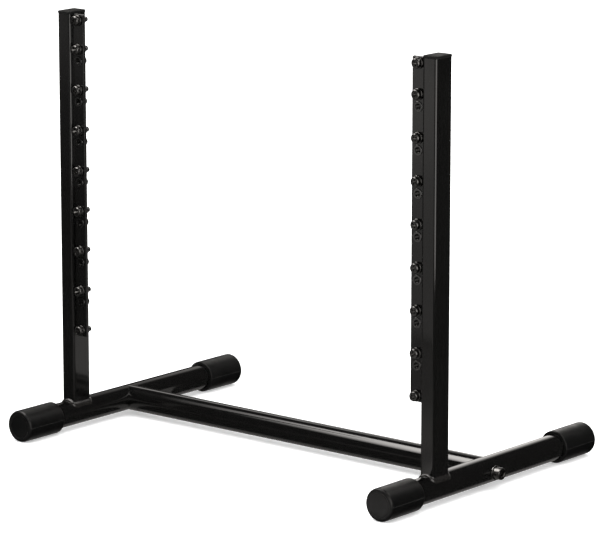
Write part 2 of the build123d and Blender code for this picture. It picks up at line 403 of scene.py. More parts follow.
COAT = powder_coat("black_powder_coat")
WELD = weld_coat("weld_metal")
RUBBER = rubber("black_rubber")
PLASTIC = plastic("black_plastic")
OXIDE = steel("black_oxide_steel", (0.080, 0.080, 0.079), (0.135, 0.133, 0.130), 0.22, 0.38,
              (0.42, 0.41, 0.39), 0.40)
INSERT = steel("insert_steel", (0.11, 0.11, 0.11), (0.17, 0.17, 0.17), 0.16, 0.30,
               (0.40, 0.40, 0.39), 0.60)
# The bore's thread gets a near-black steel tone, darker than bare steel: painted shade that keeps the
# insert holes dark.
THREAD_PAINTED_SHADE = steel("insert_thread_painted_shade", (0.012, 0.012, 0.012), (0.026, 0.026, 0.025), 0.18, 0.32,
                    (0.085, 0.083, 0.080), 0.30)
BARE = steel("plain_steel", (0.42, 0.42, 0.41), (0.52, 0.52, 0.51), 0.22, 0.38,
             (0.66, 0.66, 0.65), 0.50)
FINISH_OF_SLOT = {
    "black_powder_coat": COAT,
    "weld_metal": WELD,
    "black_rubber": RUBBER,
    "black_plastic": PLASTIC,
    "black_oxide_steel": OXIDE,
    "insert_steel": INSERT,
    "plain_steel": BARE,
}


# ------------------------------ round tubes

TUBE_SEGMENTS = 64
TUBE_WALL = 1.5
TUBE_R = box_mm("crossbar")[1].z / 2 - box_mm("crossbar")[0].z / 2
BOLT_HOLE_R = 4.5
PATCH_ROWS = 8              # cells round a bolt hole, along the tube
PATCH_COLUMNS = 10          # and round it
PATCH_HALF = 7.0
SADDLE_TRIM = 2.5           # the crossbar's horns stop short of the foot tube's axis
SADDLE_LENGTH = 8.0         # from a saddle's edge to where the crossbar's wall runs straight
CUT_EDGE_R = 0.3            # softened edge of a cut tube end, under the paint


def tube_angles():
    return [2 * math.pi * i / TUBE_SEGMENTS for i in range(TUBE_SEGMENTS)]


def patch_border(grid, first_row, centre):
    """The vertices round a patch of a tube's grid, in order from its first corner."""
    half = PATCH_COLUMNS // 2
    columns = [(centre + k) % TUBE_SEGMENTS for k in range(-half, half + 1)]
    rows = list(range(first_row, first_row + PATCH_ROWS + 1))
    border = [(rows[0], c) for c in columns[:-1]]
    border += [(r, columns[-1]) for r in rows[:-1]]
    border += [(rows[-1], c) for c in reversed(columns[1:])]
    border += [(r, columns[0]) for r in reversed(rows[1:])]
    return [grid[r][c] for r, c in border], {(r, c) for r in rows[:-1] for c in columns[:-1]}


def hole_ring(bm, radius, border, side):
    """Vertices round the bolt hole on a cylinder, one for each border vertex."""
    first = border[0].co
    start = math.atan2(first.z, first.y)
    second = border[1].co
    step = 2 * math.pi / len(border)
    if math.remainder(math.atan2(second.z, second.y) - start, 2 * math.pi) < 0:
        step = -step
    ring = []
    for k in range(len(border)):
        angle = start + k * step
        y, z = BOLT_HOLE_R * math.cos(angle), BOLT_HOLE_R * math.sin(angle)
        ring.append(bm.verts.new((side * math.sqrt(radius**2 - z**2), y, z)))
    return ring


def foot_tube_wall(bm, radius, half_length, end_inset):
    """One cylindrical surface of a foot tube, with its two bolt holes left open."""
    rows = [-half_length + end_inset]
    rows += [PATCH_HALF * (2 * k / PATCH_ROWS - 1) for k in range(PATCH_ROWS + 1)]
    rows.append(half_length - end_inset)
    grid = [
        [bm.verts.new((radius * math.cos(a), y, radius * math.sin(a))) for a in tube_angles()]
        for y in rows
    ]
    holes, skipped = [], set()
    for side, centre in ((1, 0), (-1, TUBE_SEGMENTS // 2)):
        border, cells = patch_border(grid, 1, centre)
        holes.append(hole_ring(bm, radius, border, side))
        bridge(bm, border, holes[-1])
        skipped |= cells
    for r in range(len(rows) - 1):
        for c in range(TUBE_SEGMENTS):
            if (r, c) not in skipped:
                d = (c + 1) % TUBE_SEGMENTS
                bm.faces.new((grid[r][c], grid[r][d], grid[r + 1][d], grid[r + 1][c]))
    loose = [v for v in bm.verts if not v.link_faces]
    bmesh.ops.delete(bm, geom=loose, context="VERTS")
    return grid[0], grid[-1], holes


def build_foot_tube(side_name):
    """Tube from front to back with a softened edge at each cut end."""
    node = f"{side_name}_foot_tube"
    low, high = box_mm(node)
    half_length = (high.y - low.y) / 2
    bm = bmesh.new()
    outer = foot_tube_wall(bm, TUBE_R, half_length, CUT_EDGE_R)
    inner = foot_tube_wall(bm, TUBE_R - TUBE_WALL, half_length, CUT_EDGE_R)
    for end, y in ((0, -half_length), (1, half_length)):
        rings = [
            ring_of(bm, [Vector((r * math.cos(a), y, r * math.sin(a))) for a in tube_angles()])
            for r in (TUBE_R - CUT_EDGE_R, TUBE_R - TUBE_WALL + CUT_EDGE_R)
        ]
        skin(bm, [outer[end], *rings, inner[end]])
    for outside, inside in zip(outer[2], inner[2]):
        bridge(bm, outside, inside)
    place = Matrix.Translation((low + high) / 2)
    add_piece(f"{node}_coated", bm, COAT, node, place)


def build_crossbar():
    """Tube whose ends are cut to saddle the foot tubes."""
    centre = middle_mm("crossbar")
    foot_x = middle_mm("right_foot_tube").x

    def saddle(z):
        return min(foot_x - math.sqrt(max(TUBE_R**2 - z**2, 0.0)), foot_x - SADDLE_TRIM)

    def ring(radius, side, back):
        points = []
        for a in tube_angles():
            y, z = radius * math.cos(a), radius * math.sin(a)
            points.append(Vector((side * (saddle(z) - back), y, z)))
        return ring_of(bm, points)

    bm = bmesh.new()
    inner_r = TUBE_R - TUBE_WALL
    rings = [ring(inner_r, -1, 0), ring(TUBE_R, -1, 0), ring(TUBE_R, -1, SADDLE_LENGTH)]
    rings += [ring(TUBE_R, 1, SADDLE_LENGTH), ring(TUBE_R, 1, 0), ring(inner_r, 1, 0)]
    skin(bm, rings, closed=True)
    add_piece("crossbar_coated", bm, COAT, "crossbar", Matrix.Translation(centre))


# ------------------------------ uprights and their plugs

UPRIGHT_CORNER_R = 2.5
UPRIGHT_WALL = 1.5
PLUG_FLANGE_T = 3.0
PLUG_EDGE_R = 1.1
PLUG_CROWN = 0.35           # how far the flange's middle stands above its edge
PLUG_WALL = 1.5
PLUG_SOCKET_R = 4.0         # corner of the hollow in the skirt
PLUG_LIP = 0.5              # the flange stands out past the tube
PLUG_SKIRT_INSET = UPRIGHT_WALL + PLUG_LIP
PLUG_SKIRT_SLACK = 0.05
PLUG_HOLLOW_RISE = 0.6      # the skirt's hollow goes on into the flange
PLUG_TAPER_IN = 0.5         # the skirt's lower end leads it into the tube
PLUG_TAPER_UP = 1.0
PLUG_FLANGE_BEVEL = 0.25
PLUG_EDGE_STEPS = 6
PLUG_DOME = ((2.5, 0.4), (4.5, 0.75), (6.5, 0.95), (8.2, 1.0))     # inset, share of the crown


def build_upright(side_name):
    """Rectangular tube with rounded corners, cut below to saddle the foot tube."""
    node = f"{side_name}_upright"
    low, high = box_mm(node)
    centre = (low + high) / 2
    foot_z = middle_mm(f"{side_name}_foot_tube").z
    width, depth = high.x - low.x, high.y - low.y

    def ring(inset, top_z):
        radius = max(UPRIGHT_CORNER_R - inset, 0.5)
        outline = rounded_rectangle(width - 2 * inset, depth - 2 * inset, radius, 6, 8, 4)
        points = []
        for point, _ in outline:
            z = top_z if top_z else foot_z + math.sqrt(TUBE_R**2 - point.x**2)
            points.append(Vector((centre.x + point.x, centre.y + point.y, z)))
        return ring_of(bm, points)

    bm = bmesh.new()
    rings = [
        ring(0, None),
        ring(0, high.z - CUT_EDGE_R),
        ring(CUT_EDGE_R, high.z),
        ring(UPRIGHT_WALL, high.z),
        ring(UPRIGHT_WALL, None),
    ]
    skin(bm, rings, closed=True)
    add_piece(f"{node}_coated", bm, COAT, node)


def build_plug(side_name):
    """Moulded plug: crowned flange with rounded edges, hollow skirt below it."""
    node = f"{side_name}_upright_plug"
    low, high = box_mm(node)
    centre = (low + high) / 2
    base = high.z - PLUG_FLANGE_T
    width, depth = high.x - low.x, high.y - low.y
    corner = UPRIGHT_CORNER_R + PLUG_LIP

    def ring(inset, z, radius=corner):
        corner_r = max(radius - inset, 0.4)
        outline = rounded_rectangle(width - 2 * inset, depth - 2 * inset, corner_r, 8, 6, 8)
        return ring_of(bm, [Vector((centre.x + p.x, centre.y + p.y, z)) for p, _ in outline])

    bm = bmesh.new()
    rings = [
        ring(PLUG_SKIRT_INSET + PLUG_WALL, base + PLUG_HOLLOW_RISE, PLUG_SOCKET_R),
        ring(PLUG_SKIRT_INSET + PLUG_WALL, low.z, PLUG_SOCKET_R),
        ring(PLUG_SKIRT_INSET + PLUG_TAPER_IN, low.z),
        ring(PLUG_SKIRT_INSET + PLUG_SKIRT_SLACK, low.z + PLUG_TAPER_UP),
        ring(PLUG_SKIRT_INSET + PLUG_SKIRT_SLACK, base),
        ring(PLUG_FLANGE_BEVEL, base),
        ring(0, base + PLUG_FLANGE_BEVEL),
    ]
    edge_top = high.z - PLUG_CROWN
    for k in range(PLUG_EDGE_STEPS + 1):
        angle = k / PLUG_EDGE_STEPS * math.pi / 2
        inset = PLUG_EDGE_R * (1 - math.cos(angle))
        rings.append(ring(inset, edge_top - PLUG_EDGE_R * (1 - math.sin(angle))))
    for inset, rise in PLUG_DOME:
        rings.append(ring(inset, edge_top + PLUG_CROWN * rise))
    skin(bm, rings)
    close_ends(bm, rings)
    add_piece(f"{node}_moulded", bm, PLASTIC, node)


# ------------------------------ rack rails and their inserts

RACK_UNIT = 44.45
UPPER_HOLE = 6.35
LOWER_HOLE = 38.1
RAIL_HOLE_R = 4.5
RAIL_EDGE_R = 0.4
CELL_STEPS = 8              # cells of the rail's face along each side of a hole
SCREW_PITCH = 1.0           # M6
INSERT_SEGMENTS = 24
FLANGE_R = 5.5
FLANGE_T = 0.8
BULGE_R = 5.5
BULGE_LENGTH = 2.5          # the collar that holds the insert, behind the rail
BARREL_R = 4.5
KNURL_FROM = 3.0            # behind the rail
KNURL_TO = 0.8              # short of the barrel's end
KNURL_DIP = 0.12
INSERT_THREAD = ((0.0625, 2.55), (0.1875, 2.55), (0.5, 3.03), (0.75, 3.03))
THREAD_MOUTH_R = 3.15
MOUTH_RIM_R = THREAD_MOUTH_R + 0.2
MOUTH_FACE_R = 3.6
MOUTH_DEPTH = 0.25
WASHER_T = 1.2
SCREW_LENGTH = 16.0
# One phase for every thread on a hole's axis, measured from the insert's front face
THREAD_ORIGIN = WASHER_T - SCREW_LENGTH


def rail_hole_heights(side_name):
    """Heights of a rail's holes, from the top down."""
    low, high = box_mm(f"{side_name}_rack_rail")
    units = round((high.z - low.z) / RACK_UNIT)
    return [high.z - k * RACK_UNIT - hole for k in range(units) for hole in (UPPER_HOLE, LOWER_HOLE)]


def cell_border(x_low, x_high, z_low, z_high):
    """Points round a rectangle, CELL_STEPS to a side, counterclockwise from its low corner."""
    corners = [(x_low, z_low), (x_high, z_low), (x_high, z_high), (x_low, z_high)]
    points = []
    for (xa, za), (xb, zb) in zip(corners, corners[1:] + corners[:1]):
        for k in range(CELL_STEPS):
            share = k / CELL_STEPS
            points.append((xa + (xb - xa) * share, za + (zb - za) * share))
    return points


def build_rail(side_name):
    """Flat bar with sixteen holes, its cut edges softened by the paint."""
    node = f"{side_name}_rack_rail"
    low, high = box_mm(node)
    hole_x = middle_mm(f"{side_name}_rack_screw_1").x
    heights = rail_hole_heights(side_name)
    cuts = [high.z] + [(a + b) / 2 for a, b in zip(heights, heights[1:])] + [low.z]
    count = 4 * CELL_STEPS
    bm = bmesh.new()
    holes = {}
    for face_y in (low.y, high.y):
        for height, z_high, z_low in zip(heights, cuts, cuts[1:]):
            border = ring_of(bm, [(x, face_y, z) for x, z in cell_border(low.x, high.x, z_low, z_high)])
            ring = []
            for k in range(count):
                angle = 2 * math.pi * k / count - 3 * math.pi / 4
                x, z = hole_x + RAIL_HOLE_R * math.cos(angle), height + RAIL_HOLE_R * math.sin(angle)
                ring.append(bm.verts.new((x, face_y, z)))
            bridge(bm, border, ring)
            holes[face_y, height] = ring
    for height in heights:
        bridge(bm, holes[low.y, height], holes[high.y, height])
    bmesh.ops.remove_doubles(bm, verts=bm.verts, dist=0.001)
    rim = [edge for edge in bm.edges if edge.is_boundary]
    bmesh.ops.bridge_loops(bm, edges=rim)
    sharp = [e for e in bm.edges if e.is_manifold and e.calc_face_angle() > math.radians(60)]
    outside = [e for e in sharp if all(on_rim(v.co, low, high) for v in e.verts)]
    bmesh.ops.bevel(bm, geom=outside, offset=RAIL_EDGE_R, segments=3, profile=0.5, affect="EDGES")
    add_piece(f"{node}_coated", bm, COAT, node)


def on_rim(point, low, high):
    """Whether a point is on the outer edge of a rail's face."""
    near = 0.001
    return (
        min(abs(point.x - low.x), abs(point.x - high.x)) < near
        or min(abs(point.z - low.z), abs(point.z - high.z)) < near
    )


def build_inserts(side_name):
    """Flanged inserts: threaded bore, upset collar behind the rail, knurled barrel."""
    node = f"{side_name}_rail_inserts"
    low, high = box_mm(node)
    rail_low, rail_high = box_mm(f"{side_name}_rack_rail")
    hole_x = middle_mm(f"{side_name}_rack_screw_1").x
    end = low.y - high.y
    behind = -FLANGE_T - (rail_high.y - rail_low.y)
    bulge = filleted([
        (behind, BARREL_R, 0), (behind, BULGE_R, 0.7),
        (behind - BULGE_LENGTH, BULGE_R, 0.9), (behind - BULGE_LENGTH, BARREL_R, 0),
    ])
    flange = filleted([
        (0, MOUTH_FACE_R, 0), (0, FLANGE_R, 0.35), (-FLANGE_T, FLANGE_R, 0.15), (-FLANGE_T, BARREL_R, 0),
    ])
    knurl_from, knurl_to = behind - KNURL_FROM, end + KNURL_TO
    bm = bmesh.new()

    def grooved(angle):
        return BARREL_R - KNURL_DIP * (round(angle / (2 * math.pi) * INSERT_SEGMENTS) % 2)

    def at_mouth(z, radius):
        """Opens the thread to a countersink at both ends of the bore."""
        return max(radius, THREAD_MOUTH_R - min(-z, z - end))

    for height in rail_hole_heights(side_name):
        body = Turned(INSERT_SEGMENTS)
        first = ring_of(body.bm, body.points(0, MOUTH_RIM_R))
        body.last = first
        body.profile(flange).profile(bulge)
        body.ring(knurl_from, BARREL_R).ring(knurl_from - 0.1, grooved).ring(knurl_to, grooved)
        body.profile([(knurl_to - 0.1, BARREL_R - 0.1), (end, BARREL_R - 0.5), (end, MOUTH_RIM_R)])
        outer_faces = set(body.bm.faces)
        body.ring(end + MOUTH_DEPTH, THREAD_MOUTH_R)
        body.thread(-MOUTH_DEPTH, INSERT_THREAD, SCREW_PITCH, THREAD_ORIGIN, at_mouth)
        bridge(body.bm, body.last, first)
        for face in body.bm.faces:
            face.material_index = 0 if face in outer_faces else 1
        place = facing(Vector((hole_x, low.y, height)), -Y, X)
        bmesh.ops.transform(body.bm, matrix=place, verts=body.bm.verts)
        one = bpy.data.meshes.new("one_insert")
        body.bm.to_mesh(one)
        body.bm.free()
        bm.from_mesh(one)
        bpy.data.meshes.remove(one)
    # The bore's faces take the second finish, the near-black thread steel that paints shade into the
    # holes.
    add_piece(f"{node}_threaded", bm, (INSERT, THREAD_PAINTED_SHADE), node)


# ------------------------------ rack screws and washers

SCREWS_PER_SIDE = 9
HEAD_R = 5.3
HEAD_T = 4.5
HEAD_EDGE_R = 1.7
RECESS_RIM_R = 3.5
RECESS_LEVELS = ((0.0, 2.95, 0.80), (1.6, 2.05, 0.66), (2.4, 1.1, 0.52))  # depth, half span, half width
RECESS_TIP = 2.9
SHANK_R = 2.93
UNDERHEAD_R = SHANK_R + 0.3
SCREW_ROOT_R = 2.42
SCREW_THREAD = ((0.0, SCREW_ROOT_R), (0.25, SCREW_ROOT_R), (0.5625, SHANK_R), (0.6875, SHANK_R))
TIP_R = 2.15
THREAD_RUN_OUT = 1.2
RACK_WASHER_R = 6.1
RACK_WASHER_BORE_R = 3.3
TURN_STEP_DEG = 137.5       # screws end up turned at no two alike


def cross_points(depth, half_span, half_width, top_z, turn):
    """The twelve corners of a cross recess at one depth."""
    quarter = [(half_span, -half_width), (half_span, half_width), (half_width, half_width)]
    points = []
    for k in range(4):
        spin = Matrix.Rotation(turn + k * math.pi / 2, 2)
        points += [Vector((*(spin @ Vector(p)), top_z - depth)) for p in quarter]
    return points


def cut_socket(bm, rim, levels, tip_z):
    """Joins a ring on a flat face to a socket: rings of points going down to a conical bottom."""
    rings = [ring_of(bm, points) for points in levels]
    edges = []
    for ring in (rim, rings[0]):
        for a, b in zip(ring, ring[1:] + ring[:1]):
            edges.append(bm.edges.get((a, b)) or bm.edges.new((a, b)))
    bmesh.ops.triangle_fill(bm, use_beauty=True, edges=edges, normal=(0, 0, 1))
    skin(bm, rings)
    tip = bm.verts.new((0, 0, tip_z))
    bridge(bm, rings[-1], [tip] * len(rings[-1]))


def build_rack_screw(side_name, number):
    """Pan-head M6 screw; its threads mesh with the insert's at every turn."""
    node = f"{side_name}_rack_screw_{number}"
    low, high = box_mm(node)
    seat_y = low.y + HEAD_T
    tip_z = seat_y - high.y
    end_z = -THREAD_RUN_OUT

    def at_ends(z, radius):
        return min(radius, TIP_R + (z - tip_z), SCREW_ROOT_R + max(end_z - z, 0))

    screw = Turned(24)
    screw.ring(tip_z, 0).ring(tip_z, TIP_R)
    screw.thread(end_z, SCREW_THREAD, SCREW_PITCH, tip_z, at_ends)
    screw.profile([(end_z + 0.5, SHANK_R), (-0.3, SHANK_R), (0, UNDERHEAD_R)])
    head = filleted([
        (0, UNDERHEAD_R, 0), (0, HEAD_R, 0.25),
        (HEAD_T, HEAD_R, HEAD_EDGE_R), (HEAD_T, RECESS_RIM_R, 0),
    ], 6)
    screw.profile(head[1:])
    count = number + (SCREWS_PER_SIDE if side_name == "right" else 0)
    turn = math.radians(TURN_STEP_DEG * count)
    levels = [cross_points(*level, HEAD_T, turn) for level in RECESS_LEVELS]
    cut_socket(screw.bm, screw.last, levels, HEAD_T - RECESS_TIP)
    centre = (low + high) / 2
    place = facing(Vector((centre.x, seat_y, centre.z)), -Y, X)
    add_piece(f"{node}_threaded", screw.bm, OXIDE, node, place)


def build_rack_washer(side_name, number):
    """Pressed washer: rolled edge on the side that the punch entered, sharper on the other."""
    node = f"{side_name}_rack_washer_{number}"
    low, high = box_mm(node)
    centre = (low + high) / 2
    bore, rim = RACK_WASHER_BORE_R, RACK_WASHER_R
    section = [
        (0.0, bore), (0.0, rim - 0.2), (0.15, rim), (0.65, rim), (0.90, rim - 0.06), (1.08, rim - 0.22),
        (WASHER_T, rim - 0.5), (WASHER_T, bore + 0.3), (1.05, bore + 0.06), (0.9, bore),
    ]
    washer = Turned(48).loop(section)
    place = facing(Vector((centre.x, high.y, centre.z)), -Y, X)
    add_piece(f"{node}_pressed", washer.bm, OXIDE, node, place)


# ------------------------------ crossbar bolts and spring washers

BOLT_SEGMENTS = 72
BOLT_HEAD_R = 6.5
BOLT_HEAD_T = 8.0
BOLT_R = 3.95
BOLT_PITCH = 1.25           # M8
BOLT_ROOT_R = 3.25
BOLT_THREAD = ((0.0, BOLT_ROOT_R), (0.25, BOLT_ROOT_R), (0.5625, BOLT_R), (0.6875, BOLT_R))
BOLT_THREAD_LENGTH = 28.0
BOLT_TIP_R = 3.0
KNURL_DEPTH = 0.16
KNURL_ROOT_R = BOLT_HEAD_R - KNURL_DEPTH
CROWN_T = 1.1               # plain band above the knurling
CROWN_EDGE_R = 0.8
SOCKET_RIM_R = 4.3
SOCKET_FLATS = 6.0
SOCKET_DEPTH = 4.0
SOCKET_TIP = 5.2
SPRING_WASHER_R = 7.5
SPRING_WASHER_BORE_R = 4.2
SPRING_GAP_DEG = 9.0
SPRING_STEPS = 72
SPRING_RISE = 0.25          # how far one cut end still stands above the other


def hexagon(flats, z):
    radius = flats / math.sqrt(3)
    angles = [k * math.pi / 3 for k in range(6)]
    return [Vector((radius * math.cos(angle), radius * math.sin(angle), z)) for angle in angles]


def outward_place(side_name, x):
    """Local Z along the crossbar's axis, out of the stand."""
    side = SIDES[side_name]
    centre = middle_mm(f"{side_name}_foot_tube")
    return facing(Vector((x, 0, centre.z)), side * X, Y)


def build_crossbar_bolt(side_name):
    """Socket-head bolt with a knurled head, a hexagon socket and a rolled thread."""
    node = f"{side_name}_crossbar_bolt"
    low, high = box_mm(node)
    side = SIDES[side_name]
    seat_x = (high.x if side > 0 else low.x) - side * BOLT_HEAD_T
    tip_z = -(high.x - low.x - BOLT_HEAD_T)
    end_z = tip_z + BOLT_THREAD_LENGTH

    def at_ends(z, radius):
        return min(radius, BOLT_TIP_R + (z - tip_z), BOLT_ROOT_R + max(end_z - z, 0))

    def knurled(angle):
        return BOLT_HEAD_R - KNURL_DEPTH * (round(angle / (2 * math.pi) * BOLT_SEGMENTS) % 2)

    bolt = Turned(BOLT_SEGMENTS)
    bolt.ring(tip_z, 0).ring(tip_z, BOLT_TIP_R)
    bolt.thread(end_z, BOLT_THREAD, BOLT_PITCH, tip_z, at_ends)
    bolt.profile([(end_z + 0.7, BOLT_R), (-0.4, BOLT_R), (0, BOLT_R + 0.4), (0, BOLT_HEAD_R - 0.4)])
    bolt.profile([(0.4, KNURL_ROOT_R), (0.6, knurled), (BOLT_HEAD_T - 1.3, knurled)])
    bolt.profile(filleted([
        (BOLT_HEAD_T - CROWN_T, KNURL_ROOT_R, 0), (BOLT_HEAD_T, KNURL_ROOT_R, CROWN_EDGE_R),
        (BOLT_HEAD_T, SOCKET_RIM_R, 0),
    ], 5))
    levels = [
        hexagon(SOCKET_FLATS + 0.5, BOLT_HEAD_T),
        hexagon(SOCKET_FLATS, BOLT_HEAD_T - 0.3),
        hexagon(SOCKET_FLATS, BOLT_HEAD_T - SOCKET_DEPTH),
    ]
    cut_socket(bolt.bm, bolt.last, levels, BOLT_HEAD_T - SOCKET_TIP)
    place = outward_place(side_name, seat_x)
    add_piece(f"{node}_knurled", bolt.bm, OXIDE, node, place)


def build_spring_washer(side_name):
    """Split spring washer, pressed nearly flat."""
    node = f"{side_name}_crossbar_washer"
    low, high = box_mm(node)
    side = SIDES[side_name]
    thickness = high.x - low.x - SPRING_RISE
    corners = [
        (SPRING_WASHER_BORE_R, 0, 0.2), (SPRING_WASHER_R, 0, 0.35),
        (SPRING_WASHER_R, thickness, 0.35), (SPRING_WASHER_BORE_R, thickness, 0.2),
    ]
    middle = (SPRING_WASHER_BORE_R, thickness / 2, 0)
    section = filleted([middle, *corners[::-1], middle], 3)[:-1]
    bm = bmesh.new()
    rings = []
    for k in range(SPRING_STEPS + 1):
        share = k / SPRING_STEPS
        angle = math.radians(SPRING_GAP_DEG / 2 + share * (360 - SPRING_GAP_DEG))
        lift = SPRING_RISE * share
        ring = [Vector((r * math.cos(angle), r * math.sin(angle), z + lift)) for r, z in section]
        rings.append(ring_of(bm, ring))
    skin(bm, rings)
    close_ends(bm, rings)
    place = outward_place(side_name, low.x if side > 0 else high.x)
    add_piece(f"{side_name}_spring_washer_split", bm, OXIDE, node, place)


# ------------------------------ rubber foot caps

CAP_SEGMENTS = 72
CAP_WALL_GAP = 0.03         # the tube fills the bore
CAP_END_WALL = 3.5
CAP_EDGE_R = 3.0
CAP_DISH_R = 13.0
CAP_DISH_DEPTH = 0.8
SEAM_HEIGHT = 0.20          # the mould's parting line, along both flanks
SEAM_HALF_ANGLE = math.radians(0.7)


def build_foot_cap(side_name, end_name):
    """Moulded rubber cup: dished end, rounded rim, parting line along both flanks."""
    node = f"{side_name}_{end_name}_foot_cap"
    low, high = box_mm(node)
    end = -1 if end_name == "front" else 1
    length = high.y - low.y
    outer_r = (high.z - low.z) / 2
    inner_r = TUBE_R + CAP_WALL_GAP
    outside = filleted([
        (0.55, 0, 0), (CAP_DISH_DEPTH, CAP_DISH_R - 0.6, 0.7), (0, CAP_DISH_R + 0.9, 0.6),
        (0, outer_r, CAP_EDGE_R), (length, outer_r, 1.1), (length, inner_r, 0.5),
        (CAP_END_WALL, inner_r, 0.4), (CAP_END_WALL, 0, 0),
    ], 7)

    def with_seam(radius):
        """The seam's crest is at 0 and 180 degrees, and isn't on the closed end or in the bore."""
        if radius < outer_r - 0.4 * CAP_EDGE_R:
            return radius
        return lambda angle: radius + SEAM_HEIGHT * (abs(math.cos(angle)) > 0.99999)

    cap = Turned(CAP_SEGMENTS)
    for flank in (0, math.pi):
        cap.angles += [(flank + turn) % (2 * math.pi) for turn in (-SEAM_HALF_ANGLE, SEAM_HALF_ANGLE)]
    cap.angles.sort()
    cap.segments = len(cap.angles)
    cap.profile([(z, with_seam(r)) if r else (z, 0) for z, r in outside])
    centre = (low + high) / 2
    closed_y = low.y if end < 0 else high.y
    place = facing(Vector((centre.x, closed_y, centre.z)), -end * Y, X)
    add_piece(f"{node}_moulded", cap.bm, RUBBER, node, place)


# ------------------------------ weld beads

BEAD_LEG = 2.6
BEAD_CROWN = 0.45           # how far the bead bulges past a straight fillet
BEAD_ARC_STEPS = 7
RIPPLE_PITCH = 1.5          # from one frozen puddle to the next
RIPPLE_DEPTH = 0.16
TACK_LEG = 2.4
TACK_LENGTH = 18.0
TACK_STEPS = 60
TACK_UNITS = (0, 2, 5, 7)   # which rack units have a tack behind the rail


def ripple(distance):
    """A frozen puddle's edge: steep ahead, shallow behind, with a slow wander."""
    phase = distance / RIPPLE_PITCH % 1.0
    puddle = phase**0.6 * (1 - phase) ** 0.25
    wander = 0.5 * math.sin(distance * 0.41) + 0.5 * math.sin(distance * 0.17 + 1.3)
    return RIPPLE_DEPTH * (1.6 * puddle - 0.6) + 0.12 * wander


def bead_section(corner, first_end, second_end, lift):
    """Closed section of a fillet weld between two surfaces that meet at a corner."""
    out = ((first_end - corner).normalized() + (second_end - corner).normalized()).normalized()
    points = [corner]
    for k in range(BEAD_ARC_STEPS + 1):
        share = k / BEAD_ARC_STEPS
        points.append(first_end.lerp(second_end, share) + out * lift * math.sin(math.pi * share))
    return points


def build_weld_beads(side_name):
    """The bead round the upright's foot, and the tacks behind the rail's edge."""
    node = f"{side_name}_weld_beads"
    side = SIDES[side_name]
    upright_low, upright_high = box_mm(f"{side_name}_upright")
    rail_back = box_mm(f"{side_name}_rack_rail")[1].y
    foot = middle_mm(f"{side_name}_foot_tube")
    width, depth = upright_high.x - upright_low.x, upright_high.y - upright_low.y
    centre_y = (upright_low.y + upright_high.y) / 2

    def on_tube(x, y):
        return Vector((foot.x + x, y, foot.z + math.sqrt(TUBE_R**2 - x**2)))

    bm = bmesh.new()
    outline = rounded_rectangle(width, depth, UPRIGHT_CORNER_R, 14, 54, 84)
    rings, distance, previous = [], 0.0, outline[0][0]
    for point, normal in outline:
        distance += (point - previous).length
        previous = point
        wave = ripple(distance)
        leg = BEAD_LEG + wave
        corner = on_tube(point.x, centre_y + point.y)
        toe = point + normal * leg
        ends = corner + Z * leg, on_tube(toe.x, centre_y + toe.y)
        rings.append(ring_of(bm, bead_section(corner, *ends, BEAD_CROWN + wave)))
    skin(bm, rings, closed=True)

    corner_x = upright_low.x if side > 0 else upright_high.x
    for unit in TACK_UNITS:
        middle_z = upright_high.z - (unit + 0.5) * RACK_UNIT
        rings = []
        for k in range(TACK_STEPS + 1):
            along = TACK_LENGTH * (k / TACK_STEPS - 0.5)
            taper = math.sqrt(max(1 - (2.04 * along / TACK_LENGTH * 0.96) ** 6, 0.05))
            wave = ripple(along + 20 * unit)
            leg = (TACK_LEG + wave) * taper
            corner = Vector((corner_x, rail_back, middle_z + along))
            ends = corner - side * X * leg, corner + Y * leg
            rings.append(ring_of(bm, bead_section(corner, *ends, (BEAD_CROWN + wave) * taper)))
        skin(bm, rings)
        close_ends(bm, rings)
    add_piece(f"{node}_rippled", bm, WELD, node, sharp_deg=60.0)


# ------------------------------ the whole stand

build_crossbar()
for side_name in SIDES:
    build_foot_tube(side_name)
    build_foot_cap(side_name, "front")
    build_foot_cap(side_name, "rear")
    build_upright(side_name)
    build_plug(side_name)
    build_rail(side_name)
    build_inserts(side_name)
    build_weld_beads(side_name)
    build_crossbar_bolt(side_name)
    build_spring_washer(side_name)
    for number in range(1, SCREWS_PER_SIDE + 1):
        build_rack_screw(side_name, number)
        build_rack_washer(side_name, number)

for node, piece in frame["nodes"].items():
    piece.data.materials.clear()
    piece.data.materials.append(FINISH_OF_SLOT[slot_of_node[node]])


# ------------------------------ studio

CAMERA_AZIMUTH = math.radians(39.6)
CAMERA_ELEVATION = math.radians(11.96)
CAMERA_TARGET = Vector((0.0322, -0.0380, 0.2111))
CAMERA_DISTANCE = 3.969
CAMERA_LENS = 225.0
WARM_WHITE = (1.0, 0.965, 0.93, 1.0)


def glowing(name, base, blobs):
    """An emission material: a base radiance plus soft ellipsoids of (centre, reach, radiance)."""
    material = bpy.data.materials.new(name)
    material.use_nodes = True
    tree = material.node_tree
    tree.nodes.clear()
    glow = add_node(tree, "ShaderNodeEmission", Color=WARM_WHITE, Strength=base)
    add_node(tree, "ShaderNodeOutputMaterial", {"Surface": glow.outputs["Emission"]})
    place = add_node(tree, "ShaderNodeTexCoord").outputs["Object"]
    total = None
    for centre, reach, radiance in blobs:
        shape = {"vector_type": "TEXTURE", "Location": centre, "Scale": reach}
        fit = add_node(tree, "ShaderNodeMapping", {"Vector": place}, **shape).outputs["Vector"]
        ball = add_node(tree, "ShaderNodeTexGradient", {"Vector": fit}, gradient_type="SPHERICAL")
        fall = {"interpolation_type": "SMOOTHSTEP", "To_Max": radiance}
        fade = add_node(tree, "ShaderNodeMapRange", {"Value": ball.outputs["Fac"]}, **fall)
        more = add_node(tree, "ShaderNodeMath", {0: fade.outputs["Result"]})
        more.inputs[1].default_value = base
        if total:
            tree.links.new(total, more.inputs[1])
        total = more.outputs["Value"]
    if total:
        tree.links.new(total, glow.inputs["Strength"])
    return material


